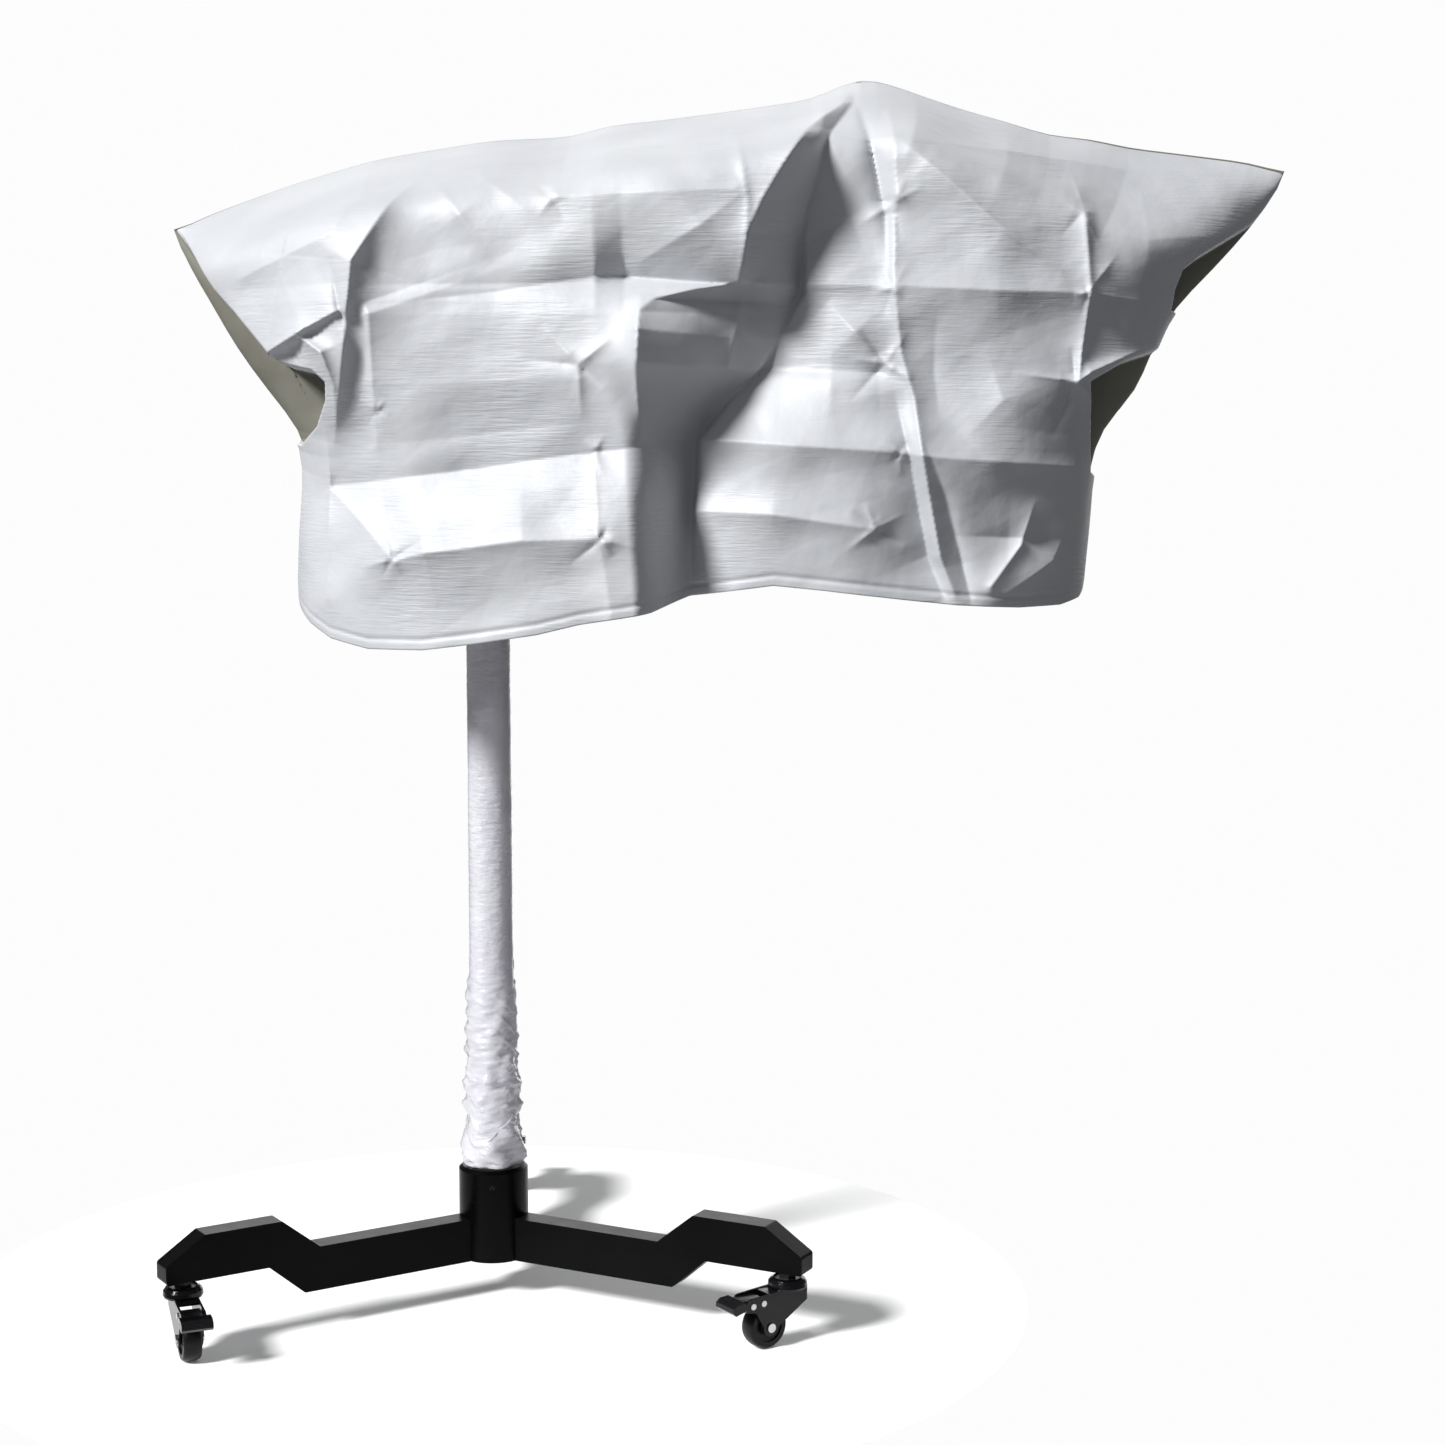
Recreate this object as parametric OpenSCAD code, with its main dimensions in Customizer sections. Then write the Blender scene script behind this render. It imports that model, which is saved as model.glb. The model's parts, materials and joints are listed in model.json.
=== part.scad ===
// Wheeled rotary clothes dryer under a dust cover.
// Origin on the floor at the pole's axis, +X along the boom, +Y away from the front, +Z up.

/* [Base] */
// Turn of the three legs about the pole, in degrees
base_turn = 2.7; // [-10:0.1:10]
// Distance from the pole's axis to a leg's tip
leg_reach = 405; // [380:1:430]
// Thickness of a leg's bar
leg_t = 28; // [22:1:34]
// Height of a leg's bar
leg_h = 50; // [44:1:56]
// Underside of a leg's inner stretch above the floor
leg_low_z = 44; // [40:1:50]
// Height of the raised end above the inner stretch
leg_step = 36; // [30:1:40]
// Radius of the hub
hub_r = 40; // [37:0.5:44]
// Top of the hub above the floor
hub_top = 152; // [140:1:170]

/* [Casters] */
// Radius of a caster's wheel
wheel_r = 25; // [22:0.5:26]
// Width of a caster's wheel
wheel_w = 20; // [16:0.5:20]
// Distance of the wheel's axle behind the swivel
caster_trail = 32; // [30:0.5:34]
// Distance from the pole's axis to a caster's stem
stem_reach = 381; // [376:1:384]
// Directions in which the left, right and back casters trail, in degrees
caster_trails = [292, 215, 88]; // [0:1:360]

/* [Pole] */
// Outer radius of the pole
pole_r = 24.15; // [22:0.05:24.2]
// Wall of the pole and the boom tubes
tube_wall = 2.5; // [1.5:0.1:3]
// Top of the pole above the floor
pole_top = 1140; // [1100:1:1160]

/* [Boom] */
// Height of the boom's axis above the floor
boom_z = 1240; // [1230:1:1245]
// Outer radius of the boom
boom_r = 16; // [14:0.1:16]
// Distance from the pole's axis to the mast
boom_reach = 420; // [400:1:430]
// Top of the mast's finial above the floor
mast_top = 1385; // [1370:1:1386]

/* [Line head] */
// Reach of a line arm from the mast
arm_reach = 212; // [180:1:214]
// Outer radius of a line arm
arm_r = 6; // [5:0.1:7]
// Height of the arms' axes above the floor
arm_z = 1274; // [1273:0.5:1275]
// Distances along the arms at which the line crosses them
line_steps = [90, 145, 198]; // [60:1:200]
// Radius of the line
line_r = 1.5; // [1:0.1:2]

/* [Cover] */
// Half of the cover's depth, front to back
cover_half = 245; // [240:1:255]
// Thickness of the cover's solid
cover_t = 3; // [2:0.5:4]
// Height at which the front stops being a roof
roof_z = 1300; // [1296:1:1304]
// Least drop of the roof where the ridge is low
roof_drop = 70; // [60:1:75]

/* [Hidden] */
$fn = 48;

// Clearances: a turning fit's radial gap, a still fit's radial gap, and the least gap
// between bodies that do not touch.
run_fit = 0.05;
still_fit = 0.05;
gap = 0.3;

// Leg directions: left, right, back
leg_angles = [for (a = [210, 330, 90]) a + base_turn];
leg_low_top = leg_low_z + leg_h;
leg_high_z = leg_low_z + leg_step;
leg_high_top = leg_high_z + leg_h;
leg_bolt_zs = [leg_low_z + 14, leg_low_z + 36];
leg_bolt_r = 4;
leg_bolt_head_r = 7;
leg_bolt_head_x = hub_r - 14;
leg_bolt_end = hub_r + 28;
leg_corner_r = 4;
stem_r = 5;
stem_depth = 24;

// Pole and hub
hub_floor = leg_low_z + 16;
plug_h = 24;
base_bolt_r = 5;
base_bolt_head_h = 7;
set_screw_r = 3;
set_screw_z = hub_top - 20;
hub_chamfer = 4;
pole_inner = pole_r - tube_wall;
bush_depth = 40;
spindle_r = 10;
spindle_top = pole_top + 65;
spindle_low = pole_top - 38;
bush_flange = 6;

// Boom collar
collar_r = 34;
washer_h = 3;
collar_low = pole_top + bush_flange + gap + washer_h;
collar_top = boom_z + 22;
collar_bore_r = 14;
collar_bore_top = spindle_top + 4;
collar_cap_h = 40;
bush_h = 22;
knob_z = collar_low + 30;
stud_r = 4;
boom_screw_r = 2.5;
boom_screw_xs = [-18, 18];
boom_inner = boom_r - tube_wall;
boom_tail = -70;
boom_end = boom_reach - 24;

// Mast and line head
mast_r = 8;
socket_r = 22;
socket_low = boom_z - 24;
socket_top = boom_z + 22;
rotor_low = socket_top + gap;
rotor_top = arm_z + 14;
rotor_r = 30;
rotor_bore_r = 12;
rotor_screw_r = 2;
rotor_screw_x = 24;
arm_inner = arm_r - 1.2;
arm_root = 18;
arm_cap_h = 6;
arm_angles = [45:90:315];
finial_h = 34;
finial_cone_h = 16;
finial_r = 13;

// Caster
axle_r = 3;
axle_head_r = 5;
king_r = 4;
disc_r = 22;
rivet_r = 3.4;
rivet_h = 1.2;
fork_in = wheel_w / 2 + 1;
fork_t = 2.5;
disc_top = leg_high_z - 12 - gap;
disc_low = disc_top - 5.5;
pedal_pivot = [42, disc_low - 8];
pedal_pin_r = 2;
spring_pin = [56, disc_low - 9];
pedal_half = 17;
fork_front = 17;
fork_end = 67;
dome_h = 11.8;
collar_clear_r = 15.6;
caster_colour = "#141416";

// Cover outline: ridge as [x, z], and each end's edge as [z, x] from its tip to the hem
ridge = [[-351, 1222], [-262, 1257], [-172, 1287], [-82, 1308], [7, 1321], [100, 1327],
    [365, 1372], [420, 1394], [500, 1367], [590, 1342], [640, 1328], [770, 1308], [898, 1286]];
left_edge = [[780, -208], [890, -204], [960, -200], [1000, -210], [1045, -245],
    [1090, -278], [1179, -330], [1222, -351]];
right_edge = [[780, 670], [890, 677], [1000, 694], [1045, 733], [1090, 750],
    [1135, 774], [1223, 858], [1268, 890], [1286, 898]];
// Front and back hems as [share of the width, z]
front_hem = [[0, 800], [0.05, 776], [0.15, 768], [0.28, 782], [0.4, 808], [0.5, 835],
    [0.6, 836], [0.75, 820], [0.9, 811], [0.96, 813], [1, 825]];
back_hem = [[0, 800], [0.08, 782], [0.5, 790], [0.92, 808], [1, 825]];
// The front's long fold as [z, x] and as [z, depth], and the swell beside it as [z, height]
fold_x = [[800, 235], [990, 240], [1067, 312], [1140, 358], [1237, 364], [1300, 386]];
fold_depth = [[800, 50], [990, 56], [1067, 56], [1140, 46], [1237, 32], [1300, 12], [1330, 0]];
fold_swell = [[800, 36], [1067, 40], [1140, 34], [1237, 20], [1300, 8], [1330, 0]];
fold_w = 42;
swell_w = 90;
// A column of the cover's points falls on the mast
cover_cols = 47;
cover_rows = 20;

// ---------- shared shapes ----------

function unit(v) = v / norm(v);

// Points of an arc of radius r that rounds the corner b between a and c
function corner(a, b, c, r, n = 5) =
    let (u = unit(a - b), w = unit(c - b), half = acos(u * w) / 2,
        mid = b + unit(u + w) * r / sin(half),
        from = b + u * r / tan(half) - mid, to = b + w * r / tan(half) - mid,
        start = atan2(from.y, from.x), end = atan2(to.y, to.x),
        turn = (end - start + 540) % 360 - 180)
    [for (i = [0:n]) mid + r * [cos(start + turn * i / n), sin(start + turn * i / n)]];

// An outline's points with every corner rounded to r
function rounded(pts, r) =
    let (n = len(pts))
    [for (i = [0:n - 1]) each corner(pts[(i + n - 1) % n], pts[i], pts[(i + 1) % n], r)];

module tube(outer, inner, low, high) {
    translate([0, 0, low]) difference() {
        cylinder(r = outer, h = high - low);
        translate([0, 0, -1]) cylinder(r = inner, h = high - low + 2);
    }
}

// A bar along +X at the height z, from x0 to x1
module rod_x(r, x0, x1, z) {
    translate([x0, 0, z]) rotate([0, 90, 0]) cylinder(r = r, h = x1 - x0);
}

// ---------- base ----------

module leg_bar(angle) {
    outline = [[hub_r - 6, leg_low_z], [leg_reach - 161, leg_low_z],
        [leg_reach - 119, leg_high_z], [leg_reach, leg_high_z],
        [leg_reach, leg_high_top - 29], [leg_reach - 45, leg_high_top],
        [leg_reach - 135, leg_high_top], [leg_reach - 180, leg_low_top],
        [hub_r - 6, leg_low_top]];
    color("#161617") rotate([0, 0, angle]) difference() {
        rotate([90, 0, 0]) translate([0, 0, -leg_t / 2])
            linear_extrude(leg_t) polygon(rounded(outline, leg_corner_r));
        translate([0, 0, leg_low_z - 1]) cylinder(r = hub_r, h = leg_h + 2, $fn = 96);
        for (z = leg_bolt_zs) rod_x(leg_bolt_r + still_fit, hub_r - 8, leg_bolt_end + 4, z);
        translate([stem_reach, 0, leg_high_z - 1]) cylinder(r = stem_r + still_fit, h = stem_depth + 3);
    }
}

module leg_left() { leg_bar(leg_angles[0]); }
module leg_right() { leg_bar(leg_angles[1]); }
module leg_back() { leg_bar(leg_angles[2]); }

// Countersunk screws from inside the hub into each leg
module leg_bolts() {
    color("#3c3d40") for (a = leg_angles, z = leg_bolt_zs) rotate([0, 0, a]) {
        rod_x(leg_bolt_r, leg_bolt_head_x + 2, leg_bolt_end, z);
        translate([leg_bolt_head_x, 0, z]) rotate([0, 90, 0])
            cylinder(r1 = leg_bolt_head_r, r2 = leg_bolt_r, h = 3);
    }
}

module base_hub() {
    color("#17171a") difference() {
        union() {
            translate([0, 0, leg_low_z])
                cylinder(r = hub_r, h = hub_top - leg_low_z - hub_chamfer, $fn = 96);
            translate([0, 0, hub_top - hub_chamfer])
                cylinder(r1 = hub_r, r2 = hub_r - hub_chamfer, h = hub_chamfer, $fn = 96);
        }
        translate([0, 0, hub_floor]) cylinder(r = pole_r + still_fit, h = hub_top, $fn = 96);
        translate([0, 0, leg_low_z - 1]) cylinder(r = base_bolt_r + still_fit, h = 20);
        translate([0, 0, leg_low_z - 1]) cylinder(r = base_bolt_r * 2, h = base_bolt_head_h + 1);
        for (a = leg_angles, z = leg_bolt_zs) rotate([0, 0, a]) {
            rod_x(leg_bolt_r + still_fit, leg_bolt_head_x + 2, hub_r + 2, z);
            rod_x(leg_bolt_head_r + still_fit, 8, leg_bolt_head_x, z);
            translate([leg_bolt_head_x - 0.01, 0, z]) rotate([0, 90, 0])
                cylinder(r1 = leg_bolt_head_r + still_fit, r2 = leg_bolt_r + still_fit, h = 3);
        }
        for (a = leg_angles) rotate([0, 0, a + 60])
            rod_x(set_screw_r + still_fit, pole_r - 4, hub_r + 2, set_screw_z);
    }
}

module hub_set_screws() {
    color("#2c2d30") for (a = leg_angles) rotate([0, 0, a + 60]) difference() {
        rod_x(set_screw_r, pole_r + 0.4, hub_r - 3, set_screw_z);
        translate([hub_r - 7, 0, set_screw_z]) rotate([0, 90, 0]) cylinder(r = 1.7, h = 5, $fn = 6);
    }
}

module pole_bolt() {
    color("#7d8074") {
        translate([0, 0, leg_low_z]) cylinder(r = base_bolt_r * 1.8, h = base_bolt_head_h, $fn = 6);
        translate([0, 0, leg_low_z + base_bolt_head_h])
            cylinder(r = base_bolt_r, h = hub_floor + plug_h - leg_low_z - base_bolt_head_h - 2);
    }
}

// ---------- pole ----------

module pole_tube() {
    color("#ecebf3") tube(pole_r, pole_inner, hub_floor, pole_top);
}

module pole_foot_plug() {
    color("#2a2a2c") tube(pole_inner - still_fit, base_bolt_r + still_fit, hub_floor, hub_floor + plug_h);
}

module pole_top_bush() {
    color("#2a2a2c") difference() {
        union() {
            translate([0, 0, pole_top - bush_depth]) cylinder(r = pole_inner - still_fit, h = bush_depth + 1);
            translate([0, 0, pole_top]) cylinder(r = pole_r, h = bush_flange);
        }
        translate([0, 0, pole_top - bush_depth - 1]) cylinder(r = spindle_r + still_fit, h = 60);
    }
}

module pole_spindle() {
    color("#b9bcc0") {
        translate([0, 0, spindle_low]) cylinder(r = spindle_r, h = spindle_top - spindle_low - 2);
        translate([0, 0, spindle_top - 2]) cylinder(r1 = spindle_r, r2 = spindle_r - 2, h = 2);
    }
}

// Clear film wound round the pole, loose and bunched above the hub
module pole_film() {
    skin = pole_r + still_fit;
    color("#f2f1f8") rotate_extrude($fn = 64) polygon([
        [skin, hub_top + 1], [38, hub_top + 3], [37, hub_top + 18], [33, hub_top + 34],
        [30, hub_top + 50], [33, hub_top + 70], [30, hub_top + 88], [32.5, hub_top + 108],
        [29.5, hub_top + 128], [31.5, hub_top + 150], [28.5, hub_top + 172],
        [29, hub_top + 196], [26.5, hub_top + 224], [skin + 1.2, hub_top + 260],
        [skin + 1.2, pole_top - 30], [skin, pole_top - 30]]);
}

// ---------- boom ----------

module boom_collar() {
    color("#1b1b1d") difference() {
        translate([0, 0, collar_low]) cylinder(r = collar_r, h = collar_top - collar_low, $fn = 64);
        translate([0, 0, collar_low - 1]) cylinder(r = collar_bore_r, h = collar_bore_top - collar_low + 1);
        rod_x(boom_r + still_fit, -collar_r - 1, collar_r + 1, boom_z);
        translate([0, 0, knob_z]) rotate([90, 0, 0]) cylinder(r = stud_r + run_fit, h = collar_r + 1);
        for (x = boom_screw_xs) translate([x, 0, boom_z]) cylinder(r = boom_screw_r + still_fit, h = 30);
    }
}

// Two bearing bushes, one at each end of the collar's bore
module collar_bushes() {
    color("#d8d4c4") for (z = [collar_low, collar_bore_top - bush_h])
        tube(collar_bore_r - 0.02, spindle_r + run_fit, z, z + bush_h);
}

module thrust_washer() {
    color("#d8d4c4") tube(22, spindle_r + 0.4, collar_low - washer_h, collar_low);
}

module collar_cap() {
    color("#1b1b1d") translate([0, 0, collar_top]) rotate_extrude($fn = 64) polygon(concat(
        [[0, 0], [collar_r, 0]],
        [for (a = [10:10:80]) [collar_r * cos(a), collar_cap_h * sin(a)]],
        [[0, collar_cap_h]]));
}

module boom_tube() {
    color("#dcdce4") difference() {
        rod_x(boom_r, boom_tail, boom_end, boom_z);
        rod_x(boom_inner, boom_tail - 1, boom_end + 1, boom_z);
    }
}

module boom_end_cap() {
    color("#1b1b1d") {
        rod_x(boom_r + 1.5, boom_tail - 12, boom_tail, boom_z);
        rod_x(boom_inner - still_fit, boom_tail - 1, boom_tail + 18, boom_z);
    }
}

// Screws through the collar's crown that rest on the boom
module boom_screws() {
    color("#3c3d40") for (x = boom_screw_xs)
        translate([x, 0, boom_z + boom_r + gap]) cylinder(r = boom_screw_r, h = 5);
}

module mast_socket() {
    color("#1b1b1d") difference() {
        union() {
            translate([boom_reach, 0, socket_low]) cylinder(r = socket_r, h = socket_top - socket_low);
            rod_x(boom_r + 4, boom_end - 24, boom_reach, boom_z);
        }
        rod_x(boom_r + still_fit, boom_end - 25, boom_end, boom_z);
        translate([boom_reach, 0, socket_low - 1]) cylinder(r = mast_r + still_fit, h = 60);
    }
}

module mast() {
    color("#b9bcc0") translate([boom_reach, 0, socket_low])
        cylinder(r = mast_r, h = mast_top - finial_cone_h + 4 - socket_low);
}

module mast_finial() {
    color("#1b1b1d") translate([boom_reach, 0, 0]) difference() {
        union() {
            translate([0, 0, mast_top - finial_h])
                cylinder(r1 = finial_r - 3, r2 = finial_r, h = finial_h - finial_cone_h);
            translate([0, 0, mast_top - finial_cone_h])
                cylinder(r1 = finial_r, r2 = 5, h = finial_cone_h);
        }
        translate([0, 0, mast_top - finial_h - 1])
            cylinder(r = mast_r + still_fit, h = finial_h - finial_cone_h + 5);
    }
}

module mast_circlip() {
    color("#8d9095") translate([boom_reach, 0, 0])
        tube(11, mast_r + still_fit, rotor_top + gap, rotor_top + 2);
}

// Knob whose stud clamps the collar to the spindle
module lock_knob() {
    color("#17171a") translate([0, -collar_r - gap, knob_z]) rotate([90, 0, 0]) difference() {
        union() {
            cylinder(r = 9, h = 11);
            translate([0, 0, 10]) linear_extrude(15)
                polygon([for (a = [0:6:354]) (15.5 + 2.5 * cos(6 * a)) * [cos(a), sin(a)]]);
        }
        translate([0, 0, -1]) cylinder(r = stud_r + still_fit, h = 19);
    }
}

module lock_stud() {
    color("#8d9095") translate([0, -spindle_r - gap, knob_z]) rotate([90, 0, 0])
        cylinder(r = stud_r, h = collar_r - spindle_r + 18);
}

// ---------- line head ----------

module rotor_hub() {
    color("#1b1b1d") translate([boom_reach, 0, 0]) difference() {
        translate([0, 0, rotor_low]) cylinder(r = rotor_r, h = rotor_top - rotor_low, $fn = 64);
        translate([0, 0, rotor_low - 1]) cylinder(r = rotor_bore_r, h = 60);
        for (a = arm_angles) rotate([0, 0, a]) {
            rod_x(arm_r + still_fit, arm_root, rotor_r + 1, arm_z);
            translate([rotor_screw_x, 0, arm_z]) cylinder(r = rotor_screw_r + still_fit, h = 30);
        }
    }
}

module rotor_bush() {
    color("#d8d4c4") translate([boom_reach, 0, 0])
        tube(rotor_bore_r - 0.02, mast_r + run_fit, rotor_low, rotor_top);
}

module arm(number) {
    color("#dcdce4") translate([boom_reach, 0, 0]) rotate([0, 0, 90 * number - 45]) difference() {
        rod_x(arm_r, arm_root, arm_reach - arm_cap_h, arm_z);
        rod_x(arm_inner, arm_root - 1, arm_reach, arm_z);
    }
}

module arm_1() { arm(1); }
module arm_2() { arm(2); }
module arm_3() { arm(3); }
module arm_4() { arm(4); }

module arm_end_caps() {
    color("#1b1b1d") translate([boom_reach, 0, 0]) for (a = arm_angles) rotate([0, 0, a]) {
        rod_x(arm_inner - still_fit, arm_reach - 16, arm_reach - 1, arm_z);
        rod_x(arm_r + 1, arm_reach - arm_cap_h, arm_reach, arm_z);
    }
}

module rotor_screws() {
    color("#8d9095") translate([boom_reach, 0, 0]) for (a = arm_angles) rotate([0, 0, a])
        translate([rotor_screw_x, 0, 0]) {
            translate([0, 0, arm_z + arm_r + 0.2])
                cylinder(r = rotor_screw_r, h = rotor_top - arm_z - arm_r);
            translate([0, 0, rotor_top]) cylinder(r = 3.5, h = 2.2);
        }
}

// One square of line, with its corners on the arms
module line_square(reach) {
    side = reach * sqrt(2);
    color("#f4f4f4") translate([boom_reach, 0, arm_z + arm_r + line_r + 0.1]) for (a = [0:90:270])
        rotate([0, 0, a]) translate([side / 2, -side / 2, 0]) {
            rotate([-90, 0, 0]) cylinder(r = line_r, h = side, $fn = 16);
            sphere(r = line_r, $fn = 16);
        }
}

module line_inner() { line_square(line_steps[0]); }
module line_middle() { line_square(line_steps[1]); }
module line_outer() { line_square(line_steps[2]); }

// Open rings on the arms that hold the line in a notch
module line_clips() {
    color("#1b1b1d") translate([boom_reach, 0, 0]) for (a = arm_angles, reach = line_steps)
        rotate([0, 0, a]) difference() {
            rod_x(arm_r + 2, reach - 4, reach + 4, arm_z);
            rod_x(arm_r + still_fit, reach - 5, reach + 5, arm_z);
            translate([reach - 5, -5, arm_z + arm_r - 1.5]) cube([10, 10, 6]);
        }
}

// ---------- cover ----------

// Ridge point, hem height and edge positions at a share s of the width and t of the drop
function ridge_x(s) = ridge[0].x + s * (ridge[len(ridge) - 1].x - ridge[0].x);
function ridge_z(s) = lookup(ridge_x(s), ridge);
function hem_z(s, front) = lookup(s, front ? front_hem : back_hem);
function edge_x(edge, top, hem, t) = lookup(top + (hem - top) * t, edge);

// Fullness of the plan section: thin towards the ends at the top, square at the hem
function fullness(s, t) =
    let (n = 2.2 + 0.8 * min(1, t * 2))
    pow(max(0, 1 - pow(abs(2 * s - 1), n)), 1 / n);

// A point of the cover. inset is 0 on the outside and cover_t on the inside.
function cover_point(s, t, front, inset) =
    let (top = ridge_z(s) - inset * 1.3,
        z = top + (hem_z(s, front) - top) * t,
        ends = inset * 3.5,
        x_low = edge_x(left_edge, ridge[0].y, hem_z(0, front), t) + ends,
        x_high = edge_x(right_edge, ridge[len(ridge) - 1].y, hem_z(1, front), t) - ends,
        x = x_low + (x_high - x_low) * s,
        ramp = min(1, (top - z) / max(top - roof_z, roof_drop)),
        across = x - lookup(z, fold_x),
        fold = !front ? 0 : lookup(z, fold_depth) * exp(-pow(across / fold_w, 2))
            - lookup(z, fold_swell) * exp(-pow((across + swell_w) / swell_w, 2)),
        y = ((cover_half - inset) * fullness(s, t) - fold) * ramp)
    [x, front ? -y : y, z];

module cover() {
    n = cover_cols;
    ring = 2 * n;
    side = n + 1 + ring * cover_rows;
    // One side's points: the ridge, then rings from the ridge down to the hem
    function skin(inset) = concat(
        [for (i = [0:n]) cover_point(i / n, 0, true, inset)],
        [for (k = [1:cover_rows], i = [0:ring - 1])
            cover_point(i <= n ? i / n : (ring - i) / n, pow(k / cover_rows, 1.25), i <= n, inset)]);
    function at(k, i) =
        let (j = i % ring)
        k == 0 ? (j <= n ? j : ring - j) : n + 1 + (k - 1) * ring + j;
    function walls(first, flip) = [for (k = [0:cover_rows - 1], i = [0:ring - 1])
        let (a = at(k, i), b = at(k, i + 1), c = at(k + 1, i + 1), d = at(k + 1, i))
        each [for (f = [[a, b, c], [a, c, d]])
            [for (j = flip ? [2, 1, 0] : [0, 1, 2]) first + f[j]]]];
    hem = [for (i = [0:ring - 1])
        let (a = at(cover_rows, i), b = at(cover_rows, i + 1))
        each [[a, b, side + b], [a, side + b, side + a]]];
    color("#b9bbc4") polyhedron(points = concat(skin(0), skin(cover_t)),
        faces = concat(walls(0, false), walls(side, true), hem), convexity = 8);
}

// ---------- casters ----------

// Puts a caster's piece under a leg: stem at the origin, trailing along +X
module at_leg(number, turned = true) {
    rotate([0, 0, leg_angles[number]]) translate([stem_reach, 0, 0])
        rotate([0, 0, turned ? caster_trails[number] - leg_angles[number] : 0]) children();
}

module caster_stem(number) {
    color("#9a9da2") at_leg(number) {
        translate([0, 0, leg_high_z]) cylinder(r = stem_r, h = stem_depth);
        translate([0, 0, disc_top + gap + 4]) cylinder(r = 9.8, h = leg_high_z - disc_top - gap - 4, $fn = 6);
        translate([0, 0, disc_top + gap]) cylinder(r = 15, h = 4);
        translate([0, 0, disc_low - 1]) cylinder(r = king_r, h = 10);
        translate([0, 0, disc_low - gap - 3]) cylinder(r = 6.5, h = 3);
    }
}

module fork_side() {
    top = disc_low + 2;
    linear_extrude(fork_t) difference() {
        union() {
            polygon([[-fork_front, top], [20, top], [60, top - 3], [fork_end, top - 9],
                [fork_end - 3, top - 17], [52, wheel_r + 20], [caster_trail + 9.5, wheel_r + 2],
                [caster_trail - 9.5, wheel_r - 1], [-fork_front, top - 16]]);
            translate([caster_trail, wheel_r]) circle(r = 9.6);
        }
        translate([caster_trail, wheel_r]) circle(r = axle_r + still_fit);
        translate(pedal_pivot) circle(r = pedal_pin_r + still_fit);
    }
}

// The swivel's dome, a cup that hides the stem's collar
module swivel_dome() {
    bore = king_r + run_fit;
    translate([0, 0, disc_low]) rotate_extrude($fn = 64) polygon([[bore, 0], [disc_r - 1, 0],
        [disc_r, 2.5], [disc_r - 0.5, 7], [disc_r - 3, dome_h - 1.4], [collar_clear_r, dome_h],
        [collar_clear_r, disc_top - disc_low], [bore, disc_top - disc_low]]);
}

module caster_housing(number) {
    color(caster_colour) at_leg(number) {
        swivel_dome();
        for (y = [fork_in + fork_t, -fork_in]) translate([0, y, 0]) rotate([90, 0, 0]) fork_side();
        translate([-fork_front, -fork_in - 1, disc_low - 12]) cube([fork_t, 2 * fork_in + 2, 13]);
        translate([8, -fork_in - 1, disc_low - 1.5]) cube([26, 2 * fork_in + 2, 2]);
    }
}

module caster_axle(number) {
    reach = fork_in + fork_t;
    color("#b4b7bc") at_leg(number) translate([caster_trail, 0, wheel_r]) rotate([90, 0, 0]) {
        translate([0, 0, -reach]) cylinder(r = axle_r, h = 2 * reach);
        for (z = [-reach - 2, reach]) translate([0, 0, z]) cylinder(r = axle_head_r, h = 2);
    }
}

// The pedal's hinge pin and the housing's rivets
module caster_rivets(number) {
    reach = fork_in + fork_t;
    color("#b4b7bc") at_leg(number) {
        translate([pedal_pivot.x, 0, pedal_pivot.y]) rotate([90, 0, 0]) {
            translate([0, 0, -reach]) cylinder(r = pedal_pin_r, h = 2 * reach);
            for (z = [-reach - rivet_h, reach]) translate([0, 0, z]) cylinder(r = rivet_r, h = rivet_h);
        }
        for (y = [-reach - rivet_h, reach]) translate([spring_pin.x, y, spring_pin.y])
            rotate([-90, 0, 0]) cylinder(r = rivet_r, h = rivet_h);
    }
}

module caster_tyre(number) {
    half = wheel_w / 2;
    color("#0f0f10") at_leg(number) translate([caster_trail, 0, wheel_r]) rotate([90, 0, 0])
        rotate_extrude($fn = 64) polygon(concat(
            [[wheel_r - 8, -half], [wheel_r - 3, -half]],
            [for (a = [-60:20:60]) [wheel_r - 3 + 3 * cos(a), half * sin(a)]],
            [[wheel_r - 3, half], [wheel_r - 8, half]]));
}

module caster_core(number) {
    half = wheel_w / 2;
    color("#1d1d20") at_leg(number) translate([caster_trail, 0, wheel_r]) rotate([90, 0, 0])
        rotate_extrude($fn = 64) polygon([[axle_r + run_fit, -half - 0.5], [7, -half - 0.5],
            [9, -half + 3], [wheel_r - 8, -half + 2], [wheel_r - 8, half - 2], [9, half - 3],
            [7, half + 0.5], [axle_r + run_fit, half + 0.5]]);
}

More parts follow.
